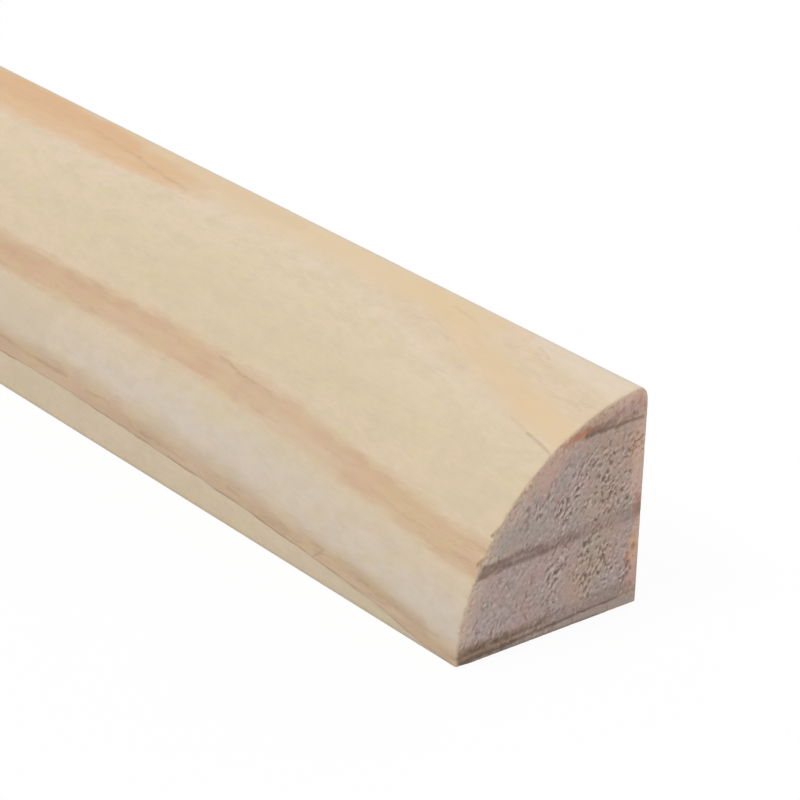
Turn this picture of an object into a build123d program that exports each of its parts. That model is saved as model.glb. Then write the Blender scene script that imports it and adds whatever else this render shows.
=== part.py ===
"""Quarter round moulding: one length of planed softwood trim, sawn square at both ends.

The stick lies on its flat bottom face, as it sits on a floor, with its other flat face at the
back, as it meets a wall. The two flats meet in a sharp square heel. The planed face swells between
two tips: the front tip, down at the floor, and the top tip, up at the wall. Its cutter is a little
flatter than a true quarter circle about the heel, so the face meets both flats just off square,
and sandpaper has eased the two tips, the top one more than the front one.

Millimetres. X runs along the length, Y goes back to the wall and Z goes up. The origin is the
middle of the stick's footprint.
"""

import os

from build123d import *

# The stick, before its tips are eased
LENGTH = 2438.0
DEPTH = 18.8
HEIGHT = 19.1

# The planed face and its tips
FACE_RADIUS = 20.3
TOP_TIP_RADIUS = 1.0
FRONT_TIP_RADIUS = 0.4

PARTS_FOLDER = "parts"
NODE = "quarter_round_moulding"


def section() -> Sketch:
    """The end view: the heel at the origin, the face towards the front, the two tips eased."""
    heel = (0, 0)
    front_tip = (-DEPTH, 0)
    top_tip = (0, HEIGHT)
    with BuildSketch(Plane.YZ) as end_view:
        with BuildLine():
            Line(heel, front_tip)
            RadiusArc(front_tip, top_tip, FACE_RADIUS)
            Line(top_tip, heel)
        make_face()
        # the sketch's own X and Y are the stick's Y and Z
        fillet(end_view.vertices().sort_by(Axis.X)[0], FRONT_TIP_RADIUS)
        fillet(end_view.vertices().sort_by(Axis.Y)[-1], TOP_TIP_RADIUS)
    return end_view.sketch


def moulding() -> Solid:
    """The section run out along the length, over the middle of its own footprint."""
    stick = extrude(section(), amount=LENGTH).solid()
    box = stick.bounding_box()
    footprint_middle = Vector(box.center().X, box.center().Y, box.min.Z)
    stick = stick.translate(-footprint_middle)
    stick.label = NODE
    return stick


os.makedirs(PARTS_FOLDER, exist_ok=True)
export_step(moulding(), f"{PARTS_FOLDER}/{NODE}.step")
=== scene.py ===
"""Quarter round moulding: the looks of one stick of planed pine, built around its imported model.

The stick is one closed mesh. Its planed faces are swept from the eased section, and both ends are
modelled as the saw left them, with torn fibres and small nicks along the arrises. Two finishes
dress it, planed pine and sawn end grain, and both read the same growth rings and fibres through
the wood, so that every band on the face meets its own band on the sawn end.

Metres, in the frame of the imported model: X along the stick, Y back to the wall, Z up.
"""

import logging
from dataclasses import asdict, dataclass, field
from enum import Enum
from functools import partial, reduce
from math import atan2, cos, hypot, pi, radians, sin, sqrt
from typing import Callable, Iterable, Sequence, Union

import bpy
import numpy as np
from mathutils import Matrix, Vector, noise
from mathutils.geometry import delaunay_2d_cdt


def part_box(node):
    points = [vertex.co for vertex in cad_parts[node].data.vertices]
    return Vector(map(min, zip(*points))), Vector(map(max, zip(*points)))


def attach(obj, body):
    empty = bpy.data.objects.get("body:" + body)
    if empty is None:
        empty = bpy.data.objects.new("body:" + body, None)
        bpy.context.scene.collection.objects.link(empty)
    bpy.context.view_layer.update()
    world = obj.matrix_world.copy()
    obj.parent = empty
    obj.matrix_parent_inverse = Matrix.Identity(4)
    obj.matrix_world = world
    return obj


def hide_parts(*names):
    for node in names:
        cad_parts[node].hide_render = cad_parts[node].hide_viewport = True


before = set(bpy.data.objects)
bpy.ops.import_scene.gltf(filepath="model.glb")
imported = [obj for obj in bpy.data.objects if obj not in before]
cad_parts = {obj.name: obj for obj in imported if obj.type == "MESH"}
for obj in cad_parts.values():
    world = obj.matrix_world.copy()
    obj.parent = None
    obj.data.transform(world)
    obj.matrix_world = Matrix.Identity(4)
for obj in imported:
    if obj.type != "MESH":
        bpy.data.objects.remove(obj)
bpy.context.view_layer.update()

NODE = "quarter_round_moulding"
STICK = "pine_stick"
MM = 0.001

BAKE_MAP = "OFBake"
BAKE_PIXELS = 1024
# The relief mark of each point of a sawn end, -1 in a pit and 1 on a torn fibre, from which the
# sawn finish paints shade into the pits and highlights onto the tufts
TORN = "torn"

# How many tints the growth rings take in turn, and how many of them lie below the middle band
YEARS = 4
YEARS_BELOW_MIDDLE = 2

# The energy of a sun that lights a white face fully
FULL_SUN = pi

# How far along Y a noise is read for each step of its place along X
NOISE_SLANT = 0.7

# How nodes are laid out on their sheet
NODE_WIDTH = 190
NODE_HEIGHT = 230
NODES_IN_ROW = 24

log = logging.getLogger("quarter_round")

Socket = bpy.types.NodeSocket
Term = Union[float, Sequence[float], Socket]
Colour = tuple[float, float, float, float]
Outputs = bpy.types.bpy_prop_collection
Pair = tuple[float, float]
Point = tuple[float, float, float]
# Where a soft step starts and ends, and what it puts out at each
Levels = tuple[float, float, float, float]


def shade(red: int, green: int, blue: int) -> Colour:
    """A colour as the eye reads it, 0 to 255, turned into the linear values that a shader takes.

    Args:
        red: Red, 0 to 255.
        green: Green, 0 to 255.
        blue: Blue, 0 to 255.

    Returns:
        Red, green, blue and an alpha of 1, linear.
    """

    def linear(channel: int) -> float:
        """One channel, linear."""
        share = channel / 255
        return share / 12.92 if share <= 0.04045 else ((share + 0.055) / 1.055) ** 2.4

    return (linear(red), linear(green), linear(blue), 1.0)


def grey(level: float) -> Colour:
    """A plain grey, or a plain number where a colour is asked for."""
    return (level, level, level, 1.0)


def smooth_step(value: np.ndarray, low: float, high: float) -> np.ndarray:
    """A soft step from 0 at low to 1 at high.

    Args:
        value: The values to step.
        low: Where the step starts.
        high: Where it ends. It may be below low, and the step then falls.

    Returns:
        The step at each value.
    """
    share = np.clip((value - low) / (high - low), 0.0, 1.0)
    return share * share * (3.0 - 2.0 * share)


class EndSide(Enum):
    """The two sawn ends: the one that the camera sees, and the far one."""

    NEAR = 1
    FAR = -1


class Face(Enum):
    """The material slots of the stick."""

    PLANED = 0
    SAWN = 1


class SocketKind(Enum):
    """What a node group's socket carries."""

    VALUE = "NodeSocketFloat"
    POINT = "NodeSocketVector"


@dataclass(frozen=True)
class Section:
    """The end view of the stick, in metres from its sharp heel: the front is at negative Y."""

    depth: float = 18.8 * MM
    height: float = 19.1 * MM
    face_radius: float = 20.3 * MM
    top_tip_radius: float = 1.0 * MM
    front_tip_radius: float = 0.4 * MM
    heel_radius: float = 0.12 * MM
    arc_points: int = 4

    def face_centre(self) -> Pair:
        """The centre of the rounded face, from its two tips and its radius.

        Returns:
            Its Y and Z from the heel.
        """
        chord = hypot(self.depth, self.height)
        reach = sqrt(self.face_radius**2 - (chord / 2) ** 2)
        return (
            -self.depth / 2 + self.height / chord * reach,
            self.height / 2 - self.depth / chord * reach,
        )

    def top_tip_centre(self) -> Pair:
        """The centre of the eased top tip, which touches the back and the face.

        Returns:
            Its Y and Z from the heel.
        """
        y, z = self.face_centre()
        reach = self.face_radius - self.top_tip_radius
        return -self.top_tip_radius, z + sqrt(reach**2 - (self.top_tip_radius + y) ** 2)

    def front_tip_centre(self) -> Pair:
        """The centre of the eased front tip, which touches the bottom and the face.

        Returns:
            Its Y and Z from the heel.
        """
        y, z = self.face_centre()
        reach = self.face_radius - self.front_tip_radius
        return y - sqrt(reach**2 - (self.front_tip_radius - z) ** 2), self.front_tip_radius

    def face_point(self, along: float) -> Pair:
        """A point of the rounded face.

        Args:
            along: How far round the face, in metres, from the front tip up.

        Returns:
            Its Y and Z from the heel.
        """
        y, z = self.face_centre()
        turn = atan2(-z, -self.depth - y) % (2 * pi) - along / self.face_radius
        return y + self.face_radius * cos(turn), z + self.face_radius * sin(turn)

    def under_face(self, points: np.ndarray) -> np.ndarray:
        """How far each point lies under the rounded face, in metres."""
        return self.face_radius - np.hypot(*(points - np.array(self.face_centre())).T)

    def outline(self, step: float) -> np.ndarray:
        """The whole outline, up the back, over the face and back along the bottom to the heel.

        Args:
            step: About how far apart its points are.

        Returns:
            Rows of Y and Z from the heel, each once.
        """
        face = self.face_centre()
        top, front = self.top_tip_centre(), self.front_tip_centre()
        heel = (-self.heel_radius, self.heel_radius)
        top_turn = atan2(top[1] - face[1], top[0] - face[0])
        front_turn = atan2(front[1] - face[1], front[0] - face[0]) % (2 * pi)

        def arc(centre: Pair, radius: float, start: float, end: float) -> np.ndarray:
            """Points round an arc.

            Args:
                centre: Its centre.
                radius: Its radius.
                start: The turn where it starts.
                end: The turn where it ends.

            Returns:
                Rows of Y and Z, without its last point.
            """
            count = max(self.arc_points, round(radius * abs(end - start) / step))
            turns = np.linspace(start, end, count, endpoint=False)
            return np.array(centre) + radius * np.stack([np.cos(turns), np.sin(turns)], 1)

        def run(start: Pair, end: Pair) -> np.ndarray:
            """Points along a straight side, without its last one."""
            count = round(hypot(end[0] - start[0], end[1] - start[1]) / step)
            return np.linspace(start, end, count, endpoint=False)

        return np.concatenate(
            [
                arc(heel, self.heel_radius, -pi / 2, 0.0),
                run((0.0, heel[1]), (0.0, top[1])),
                arc(top, self.top_tip_radius, 0.0, top_turn),
                arc(face, self.face_radius, top_turn, front_turn),
                arc(front, self.front_tip_radius, front_turn, 1.5 * pi),
                run((front[0], 0.0), (heel[0], 0.0)),
            ]
        )


@dataclass(frozen=True)
class Ripple:
    """Smooth noise over a sawn end or along its rim, the same on every run.

    Size is how long one wave is each way, in millimetres. Place is the slice of the noise that it
    reads, counted from its end's own slice.
    """

    size: Pair
    place: float


@dataclass(frozen=True)
class TornPatch:
    """A patch of a sawn end where the saw tore many fibres, in millimetres from the heel."""

    y: float
    z: float
    across: float
    along: float
    amount: float


@dataclass(frozen=True)
class SawnEnd:
    """The relief of one sawn end: saw streaks, torn pits with fibres beside them, and nicks.

    Millimetres from the heel, except for the spacing of its points. Each share of what is torn
    goes from 0, where the cut is clean, to 1.
    """

    side: EndSide
    slice: float
    grid: float
    patches: tuple[TornPatch, ...]
    # the curved streaks, and how torn the wood is along them and in the patches
    streak_centre: Pair = (40.0, -20.0)
    streak_radius: float = 56.0
    stripes: Ripple = Ripple((0.8, 3.2), 3.0)
    torn_everywhere: float = 0.20
    torn_in_stripes: float = 0.34
    patch_edge: float = 1.5
    patch_level: float = 0.8
    patch_stripes: float = 0.35
    # the noise of the torn spots, of the cut wood and of the rim
    spots: Ripple = Ripple((0.20, 0.42), 0.0)
    fine: Ripple = Ripple((0.16, 0.26), 7.0)
    grain: Ripple = Ripple((0.24, 0.24), 11.0)
    swell: Ripple = Ripple((1.3, 9.0), 17.0)
    wide_nicks: Ripple = Ripple((1.9, 1.0), 23.0)
    small_nicks: Ripple = Ripple((0.45, 1.0), 29.0)
    burrs: Ripple = Ripple((0.34, 1.0), 31.0)
    # pits, and the fibres that stand beside them
    fine_share: float = 0.45
    torn_share: float = 0.24
    spot_levels: Pair = (0.10, 0.76)
    least_spots: float = 0.25
    beside: Pair = (0.13, -0.09)
    fibre_loss: float = 1.6
    # how deep each lies, and the deepest that a pit gets
    cut_depth: float = 0.035
    torn_depth: float = 0.04
    pit_depth: float = 0.22
    fibre_rise: float = 0.06
    grain_depth: float = 0.012
    swell_depth: float = 0.010
    lowest: float = 0.40

    def noise(self, points: np.ndarray, ripple: Ripple) -> np.ndarray:
        """Smooth noise, about -1 to 1, at each row of two numbers."""
        rows = (points / np.array(ripple.size)).tolist()
        return np.array([noise.noise(Vector((u, v, self.slice + ripple.place))) for u, v in rows])

    def streaks(self, points: np.ndarray) -> np.ndarray:
        """Each point's place across and along the curved streaks that the saw left.

        Args:
            points: Rows of Y and Z.

        Returns:
            Rows of millimetres across the streaks and along them.
        """
        away = points - np.array(self.streak_centre)
        radius = np.hypot(away[:, 0], away[:, 1])
        turn = np.arctan2(away[:, 1], away[:, 0])
        return np.stack([radius, turn * self.streak_radius], 1)

    def torn(self, places: np.ndarray) -> np.ndarray:
        """How torn the wood is.

        Args:
            places: Rows of places across and along the streaks.

        Returns:
            The share that is torn at each place.
        """
        stripes = self.noise(places, self.stripes)
        amount = self.torn_everywhere + self.torn_in_stripes * stripes
        for patch in self.patches:
            centre = self.streaks(np.array([[patch.y, patch.z]]))[0]
            offset = (places - centre) / np.array([patch.across, patch.along])
            near = np.exp(-((offset**2).sum(1) ** self.patch_edge))
            amount += patch.amount * near * (self.patch_level + self.patch_stripes * stripes)
        return np.clip(amount, 0.0, 1.0)

    def torn_spots(self, places: np.ndarray, fine: np.ndarray, torn: np.ndarray) -> np.ndarray:
        """Small spots, more and stronger where the wood is torn.

        Args:
            places: Rows of places across and along the streaks.
            fine: What makes the spots' edges uneven, at each place.
            torn: The share that is torn at each place.

        Returns:
            How strong a spot is at each place, 0 to 1.
        """
        level = self.noise(places, self.spots) + self.fine_share * fine + self.torn_share * torn
        amount = self.least_spots + (1.0 - self.least_spots) * torn
        return smooth_step(level, *self.spot_levels) * amount

    def relief(self, points: np.ndarray) -> tuple[np.ndarray, np.ndarray]:
        """The depth of the cut surface below the highest fibre.

        Args:
            points: Rows of Y and Z.

        Returns:
            The depth at each point in metres, and its mark: -1 in a deep pit, 1 on a torn fibre.
        """
        places = self.streaks(points)
        torn = self.torn(places)
        fine = self.noise(places, self.fine)
        pits = self.torn_spots(places, fine, torn)
        fibres = self.torn_spots(places + np.array(self.beside), -fine, torn)
        fibres *= 1.0 - np.clip(self.fibre_loss * pits, 0.0, 1.0)
        depth = self.cut_depth + self.torn_depth * torn
        depth += self.pit_depth * pits - self.fibre_rise * fibres
        depth += self.grain_depth * self.noise(points, self.grain)
        depth += self.swell_depth * self.noise(places, self.swell)
        return np.clip(depth, 0.0, self.lowest) * MM, np.clip(fibres - pits, -1.0, 1.0)


NEAR_END = SawnEnd(
    side=EndSide.NEAR,
    slice=1.5,
    grid=0.095 * MM,
    patches=(
        TornPatch(-2.9, 12.0, 2.4, 4.3, 0.92),
        TornPatch(-7.6, 10.6, 1.0, 2.2, 0.75),
        TornPatch(-6.2, 13.6, 0.8, 2.0, 0.60),
        TornPatch(-4.8, 4.9, 2.2, 2.9, 0.85),
        TornPatch(-8.3, 5.8, 1.1, 1.8, 0.70),
        TornPatch(-9.2, 2.4, 0.7, 1.2, 0.55),
        TornPatch(-0.7, 4.0, 0.7, 2.6, 0.80),
        TornPatch(-11.2, 10.4, 0.7, 1.8, 0.30),
    ),
)
FAR_END = SawnEnd(
    side=EndSide.FAR,
    slice=61.5,
    grid=0.17 * MM,
    patches=(
        TornPatch(-11.0, 8.0, 2.4, 4.0, 0.60),
        TornPatch(-4.0, 6.0, 1.4, 3.6, 0.50),
        TornPatch(-3.0, 14.5, 1.8, 2.2, 0.55),
    ),
)


@dataclass(frozen=True)
class BakeStrip:
    """One length of the planed faces as it is laid on the bake map."""

    start: float
    end: float
    low: float
    high: float
    edge: float = 4 / BAKE_PIXELS

    def across(self, station: float) -> float:
        """How far across the map a station lies, a few pixels in from both its edges."""
        return self.edge + (1 - 2 * self.edge) * (station - self.start) / (self.end - self.start)


@dataclass
class Moulding:
    """The stick itself: planed faces swept from the section, closed by two sawn ends.

    Metres, but millimetres for the stations at a rim and for the levels of soft steps.
    """

    section: Section
    ends: tuple[SawnEnd, SawnEnd]
    length: float
    back: float
    outline_step: float = 0.195 * MM
    rim_stations: tuple[float, ...] = (0.0, 0.03, 0.08, 0.15, 0.30, 0.55, 0.9, 1.4, 2.0, 3.0, 4.2)
    # the stations that the picture shows, and those along the rest of the stick
    photo_start: float = 1.2 * MM
    photo_reach: float = 100.0 * MM
    photo_step: float = 2.5 * MM
    middle_start: float = 8.0 * MM
    middle_end: float = 12.0 * MM
    middle_step: float = 46.0 * MM
    # nicks in the arris of a sawn end, and a burr that fades out towards both tips
    nick_levels: Pair = (0.20, 0.85)
    small_share: float = 0.8
    nick_depth: float = 0.09 * MM
    flat_set_back: float = 0.02 * MM
    face_set_back: float = 0.12 * MM
    burr_levels: Pair = (0.10, 0.60)
    burr_height: float = 0.08 * MM
    burr_front: Pair = (-17.6, -16.4)
    burr_top: Pair = (18.3, 17.2)
    on_face: float = 0.001 * MM
    # how the arris is eased, and how calm the sawn end is beside it
    arris_ease: float = 0.15 * MM
    least_ease: float = 0.10
    ease_levels: Pair = (1.6, 0.3)
    rim_levels: Pair = (1.6, 0.0)
    rim_calm: float = 0.3
    calm_levels: Pair = (0.05, 0.40)
    calm_flats: float = 1.3
    # how handling rubbed the two tips
    top_wear: float = 0.03 * MM
    top_levels: Pair = (2.0, 0.9)
    front_wear: float = 0.015 * MM
    front_levels: Pair = (1.4, 0.4)
    rub_length: float = 9.0 * MM
    rub_slice: float = 5.0
    rub_level: float = 0.6
    # the points of a sawn end, in shares of their spacing
    grid_shake: float = 0.22
    grid_gap: float = 0.6
    # how close two points count as one, in millimetres, and from what turn, in degrees, an edge
    # is sharp
    weld: float = 1e-7
    sharp_turn: float = 50.0
    # the bake map, where each end has an island of its own
    strips: tuple[BakeStrip, ...] = (
        BakeStrip(0.0, 0.160, 0.705, 0.995),
        BakeStrip(0.160, 1.300, 0.490, 0.695),
        BakeStrip(1.300, 2.438, 0.275, 0.480),
    )
    end_island: float = 0.262
    island_gap: float = 0.005
    island_spare: float = 0.2
    vertices: list[Vector] = field(default_factory=list)
    faces: list[tuple[int, ...]] = field(default_factory=list)
    slots: list[int] = field(default_factory=list)
    maps: list[Pair] = field(default_factory=list)
    marks: list[float] = field(default_factory=list)
    rims: dict[EndSide, np.ndarray] = field(default_factory=dict)

    def stations(self) -> np.ndarray:
        """Where the rings of the sweep stand: close together near both ends, and in the picture.

        Returns:
            Metres from the near end.
        """
        rim = np.array(self.rim_stations) * MM
        photo = np.arange(rim[-1] + self.photo_start, self.photo_reach, self.photo_step)
        far = self.length - rim[::-1]
        start, end = photo[-1] + self.middle_start, far[0] - self.middle_end
        middle = np.arange(start, end, self.middle_step)
        cuts = [strip.start for strip in self.strips[1:]]
        return np.unique(np.concatenate([rim, photo, middle, far, cuts]).round(7))

    def rim_nicks(self, outline: np.ndarray, end: SawnEnd) -> tuple[np.ndarray, np.ndarray]:
        """The nicks and the burr along the arris between an end and the planed faces.

        Args:
            outline: Rows of Y and Z from the heel.
            end: The sawn end.

        Returns:
            How far each point of the arris stands back along X, and how far it stands proud of
            the face, both in metres.
        """
        steps = np.linalg.norm(np.roll(outline, -1, 0) - outline, axis=1)
        walk = np.concatenate([[0.0], np.cumsum(steps)[:-1]]) / MM
        rows = np.stack([walk, np.zeros_like(walk)], 1)
        wide, small = end.noise(rows, end.wide_nicks), end.noise(rows, end.small_nicks)
        nicks = smooth_step(wide + self.small_share * small, *self.nick_levels)
        burr = smooth_step(end.noise(rows, end.burrs), *self.burr_levels)
        on_face = np.abs(self.section.under_face(outline)) < self.on_face
        y, z = outline.T / MM
        burr *= smooth_step(y, *self.burr_front) * smooth_step(z, *self.burr_top)
        proud = (self.burr_height * burr - self.nick_depth * nicks) * on_face
        return (self.flat_set_back + self.face_set_back * on_face) * nicks, proud

    def ease(self, outline: np.ndarray) -> np.ndarray:
        """How round the arris of a sawn end is at each point: softer on the rounded face.

        Args:
            outline: Rows of Y and Z from the heel.

        Returns:
            The radius at each point, in metres.
        """
        near_face = smooth_step(self.section.under_face(outline) / MM, *self.ease_levels)
        return self.arris_ease * (self.least_ease + (1.0 - self.least_ease) * near_face)

    def tip_wear(self, outline: np.ndarray) -> np.ndarray:
        """How far handling has rubbed the two tips down.

        Args:
            outline: Rows of Y and Z from the heel.

        Returns:
            The wear at each point in metres, 0 away from the tips.
        """
        wear = np.zeros(len(outline))
        for centre, depth, levels in (
            (self.section.top_tip_centre(), self.top_wear, self.top_levels),
            (self.section.front_tip_centre(), self.front_wear, self.front_levels),
        ):
            away = np.hypot(*(outline - np.array(centre)).T) / MM
            wear += depth * smooth_step(away, *levels)
        return wear

    def sweep(self) -> list[list[int]]:
        """Makes the planed faces.

        Returns:
            The vertex numbers of each ring, from the near end to the far end.
        """
        outline = self.section.outline(self.outline_step)
        way = np.roll(outline, -1, 0) - np.roll(outline, 1, 0)
        normal = np.stack([way[:, 1], -way[:, 0]], 1) / np.linalg.norm(way, axis=1)[:, None]
        cut = {
            end.side: (*end.relief(outline / MM), *self.rim_nicks(outline, end))
            for end in self.ends
        }
        wear, ease = self.tip_wear(outline), self.ease(outline)
        stations = self.stations()
        rings = []
        for station in stations:
            near = station < self.length / 2
            side = EndSide.NEAR if near else EndSide.FAR
            depth = station if near else self.length - station
            relief, mark, set_back, proud = cut[side]
            hold = float(smooth_step(np.array([depth / MM]), *self.rim_levels)[0])
            inset = depth + hold * (self.rim_calm * relief + set_back)
            rub = noise.noise(Vector((station / self.rub_length, 0.0, self.rub_slice)))
            spread = hold**2 * proud - wear * (self.rub_level + (1.0 - self.rub_level) * rub)
            away = np.clip(1.0 - depth / self.arris_ease, 0.0, 1.0)
            spread -= ease * (1.0 - np.sqrt(1.0 - away**2))
            ring = outline + normal * spread[:, None]
            rings.append(self.add_points(side, inset, ring, mark * hold))
            if station in (stations[0], stations[-1]):
                self.rims[side] = ring
        self.lay_skin(stations, rings)
        return rings

    def lay_skin(self, stations: np.ndarray, rings: list[list[int]]) -> None:
        """Lays the faces between the rings.

        Args:
            stations: Where each ring stands.
            rings: The vertex numbers of each ring.
        """
        count = len(rings[0])
        walk = np.linspace(0.0, 1.0, count + 1)
        for i in range(len(stations) - 1):
            middle = (stations[i] + stations[i + 1]) / 2
            strip = next(s for s in self.strips if s.start <= middle <= s.end)
            u = [strip.across(stations[i]), strip.across(stations[i + 1])]
            v = strip.low + (strip.high - strip.low) * walk
            for j in range(count):
                k = (j + 1) % count
                corners = (rings[i][j], rings[i + 1][j], rings[i + 1][k], rings[i][k])
                spots = ((u[0], v[j]), (u[1], v[j]), (u[1], v[j + 1]), (u[0], v[j + 1]))
                self.add_face(corners, spots, Face.PLANED)

    def add_points(
        self, side: EndSide, inset: np.ndarray, places: np.ndarray, marks: np.ndarray
    ) -> list[int]:
        """Adds points.

        Args:
            side: The end that they are measured from.
            inset: How far in from it each one is.
            places: Rows of Y and Z from the heel.
            marks: How torn the wood is at each.

        Returns:
            Their vertex numbers.
        """
        start = len(self.vertices)
        for depth, (y, z) in zip(inset, places):
            self.vertices.append(Vector(((self.length / 2 - depth) * side.value, self.back + y, z)))
        self.marks.extend(float(mark) for mark in marks)
        return list(range(start, len(self.vertices)))

    def add_face(self, corners: Sequence[int], spots: Sequence[Pair], face: Face) -> None:
        """Adds one face with its material and its place on the bake map.

        Args:
            corners: Its vertex numbers, anticlockwise from outside.
            spots: Where each corner lies on the bake map.
            face: The material slot.
        """
        self.faces.append(tuple(corners))
        self.maps.extend(spots)
        self.slots.append(face.value)

    def close(self, end: SawnEnd, rim: list[int]) -> None:
        """Closes one end with its sawn face, which shares the rim of the sweep.

        Args:
            end: The sawn end.
            rim: The vertex numbers of the sweep's last ring there.
        """
        inner = self.cut_points(end)
        flat = np.concatenate([self.rims[end.side], inner]) / MM
        loop = [(j, (j + 1) % len(rim)) for j in range(len(rim))]
        # 1 keeps only the triangles inside the loop
        inside_only = 1
        made, _, triangles, origins, _, _ = delaunay_2d_cdt(
            [Vector(p) for p in flat.tolist()], loop, [], inside_only, self.weld
        )
        relief, mark = end.relief(inner / MM)
        numbers = rim + self.add_points(end.side, relief * self.calm(inner), inner, mark)
        near = end.side is EndSide.NEAR
        left = self.island_gap if near else 2 * self.island_gap + self.end_island
        depth, height = self.section.depth / MM, self.section.height / MM
        scale = self.end_island / (height + self.island_spare)
        for triangle in triangles:
            turned = triangle if near else triangle[::-1]
            spots = [
                (left + (made[k].x + depth) * scale, self.island_gap + made[k].y * scale)
                for k in turned
            ]
            self.add_face([numbers[origins[k][0]] for k in turned], spots, Face.SAWN)

    def calm(self, points: np.ndarray) -> np.ndarray:
        """How much of the relief is kept beside the arrises, where the saw cut cleanly.

        Args:
            points: Rows of Y and Z from the heel.

        Returns:
            The share kept at each point.
        """
        y, z = points.T
        edge = np.minimum(self.calm_flats * np.minimum(-y, z), self.section.under_face(points))
        return self.rim_calm + (1.0 - self.rim_calm) * smooth_step(edge / MM, *self.calm_levels)

    def cut_points(self, end: SawnEnd) -> np.ndarray:
        """Points spread evenly inside the outline, each a little off its even place.

        Args:
            end: The sawn end.

        Returns:
            Rows of Y and Z from the heel.
        """
        outline = self.section.outline(self.outline_step)
        rows = np.arange(0.0, self.section.height, end.grid * sqrt(3) / 2)
        columns = np.arange(-self.section.depth, 0.0, end.grid)
        y, z = np.meshgrid(columns, rows)
        y[1::2] += end.grid / 2
        points = np.stack([y.ravel(), z.ravel()], 1)
        shaker = np.random.default_rng(int(end.slice * 10))
        points += shaker.uniform(-self.grid_shake, self.grid_shake, points.shape) * end.grid
        inside = np.full(len(points), True)
        gaps = self.ease(outline) + self.grid_gap * end.grid + self.nick_depth
        for start, stop, gap in zip(outline, np.roll(outline, -1, 0), gaps):
            way = (stop - start) / np.linalg.norm(stop - start)
            away = points - start
            inside &= way[0] * away[:, 1] - way[1] * away[:, 0] > gap
        return points[inside]

    def build(self) -> bpy.types.Object:
        """Makes the stick as one closed mesh.

        Returns:
            The stick, with its map for the bake and the marks of its torn fibres.
        """
        rings = self.sweep()
        for end, rim in zip(self.ends, (rings[0], rings[-1])):
            self.close(end, rim)
        mesh = bpy.data.meshes.new(STICK)
        mesh.from_pydata([tuple(v) for v in self.vertices], [], self.faces)
        mesh.polygons.foreach_set("material_index", self.slots)
        layer = mesh.uv_layers.new(name=BAKE_MAP)
        layer.uv.foreach_set("vector", np.array(self.maps, np.float32).ravel())
        torn = mesh.attributes.new(TORN, "FLOAT", "POINT")
        torn.data.foreach_set("value", np.array(self.marks, np.float32))
        mesh.shade_smooth()
        mesh.set_sharp_from_angle(angle=radians(self.sharp_turn))
        mesh.validate()
        stick = bpy.data.objects.new(STICK, mesh)
        bpy.context.scene.collection.objects.link(stick)
        return stick

    def dress(self, stick: bpy.types.Object, finishes: Iterable[bpy.types.Material]) -> None:
        """Gives the stick its finishes, in the order of its material slots."""
        for finish in finishes:
            stick.data.materials.append(finish)


@dataclass(frozen=True)
class Waves:
    """Smooth noise through the wood: how long its waves are along X, Y and Z, in millimetres.

    Detail is how many finer layers it has, rough is how strong each of them is, and place is the
    part of the noise that it reads.
    """

    size: tuple[float, float, float]
    detail: float
    rough: float
    place: float


@dataclass(frozen=True)
class Tint:
    """A colour laid over the wood where noise passes from its low level to its high one."""

    waves: Waves
    low: float
    high: float
    amount: float
    colour: Colour


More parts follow.
